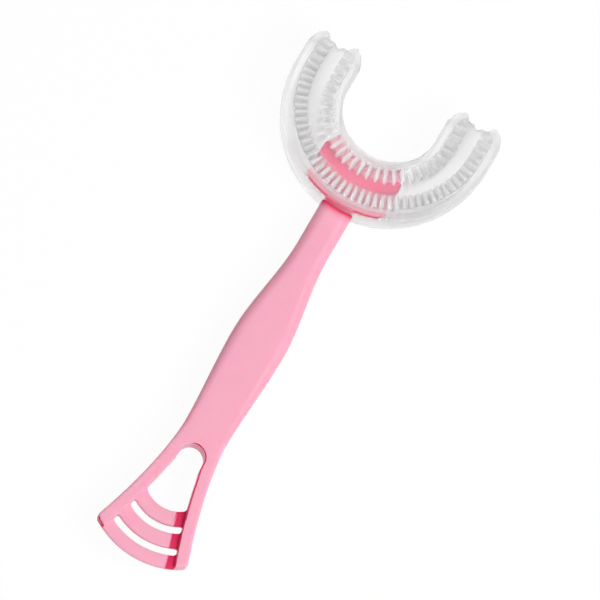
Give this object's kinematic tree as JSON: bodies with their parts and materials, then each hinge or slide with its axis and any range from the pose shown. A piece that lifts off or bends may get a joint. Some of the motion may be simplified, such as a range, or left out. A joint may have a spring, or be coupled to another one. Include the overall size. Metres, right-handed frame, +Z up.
{
  "type": "u-shaped toothbrush",
  "caption": "Manual toothbrush with a u-shaped silicone head, bristled channels for upper and lower teeth, and a handle that ends in a tongue scraper.",
  "frame": {"origin": "centre of the bounding box in plan, at the lowest point: the lower rim of the head", "axes": "+Y along the handle towards the open ends of the u, +X to the right seen from above, +Z up; the part is symmetric about X = 0"},
  "size_m": [0.0598, 0.1508, 0.02],
  "materials": {
    "handle": "satin-gloss moulded polypropylene, pink",
    "head": "translucent white silicone, satin",
    "bristles": "translucent white silicone, satin"
  },
  "bodies": {
    "handle": {"handle": "handle"},
    "head": {"silicone_head": "head", "upper_outer_bristles_left_arm": "bristles", "upper_outer_bristles_left_side": "bristles", "upper_outer_bristles_left_front": "bristles", "upper_outer_bristles_right_front": "bristles", "upper_outer_bristles_right_side": "bristles", "upper_outer_bristles_right_arm": "bristles", "upper_inner_bristles_left_arm": "bristles", "upper_inner_bristles_left_side": "bristles", "upper_inner_bristles_left_front": "bristles", "upper_inner_bristles_right_front": "bristles", "upper_inner_bristles_right_side": "bristles", "upper_inner_bristles_right_arm": "bristles", "lower_outer_bristles_left_arm": "bristles", "lower_outer_bristles_left_side": "bristles", "lower_outer_bristles_left_front": "bristles", "lower_outer_bristles_right_front": "bristles", "lower_outer_bristles_right_side": "bristles", "lower_outer_bristles_right_arm": "bristles", "lower_inner_bristles_left_arm": "bristles", "lower_inner_bristles_left_side": "bristles", "lower_inner_bristles_left_front": "bristles", "lower_inner_bristles_right_front": "bristles", "lower_inner_bristles_right_side": "bristles", "lower_inner_bristles_right_arm": "bristles"}
  },
  "joints": [
    {"name": "head_pull_off", "type": "slide", "parent": "handle", "child": "head", "axis": [0, 1, 0], "range_m": [0, 0.03]}
  ]
}
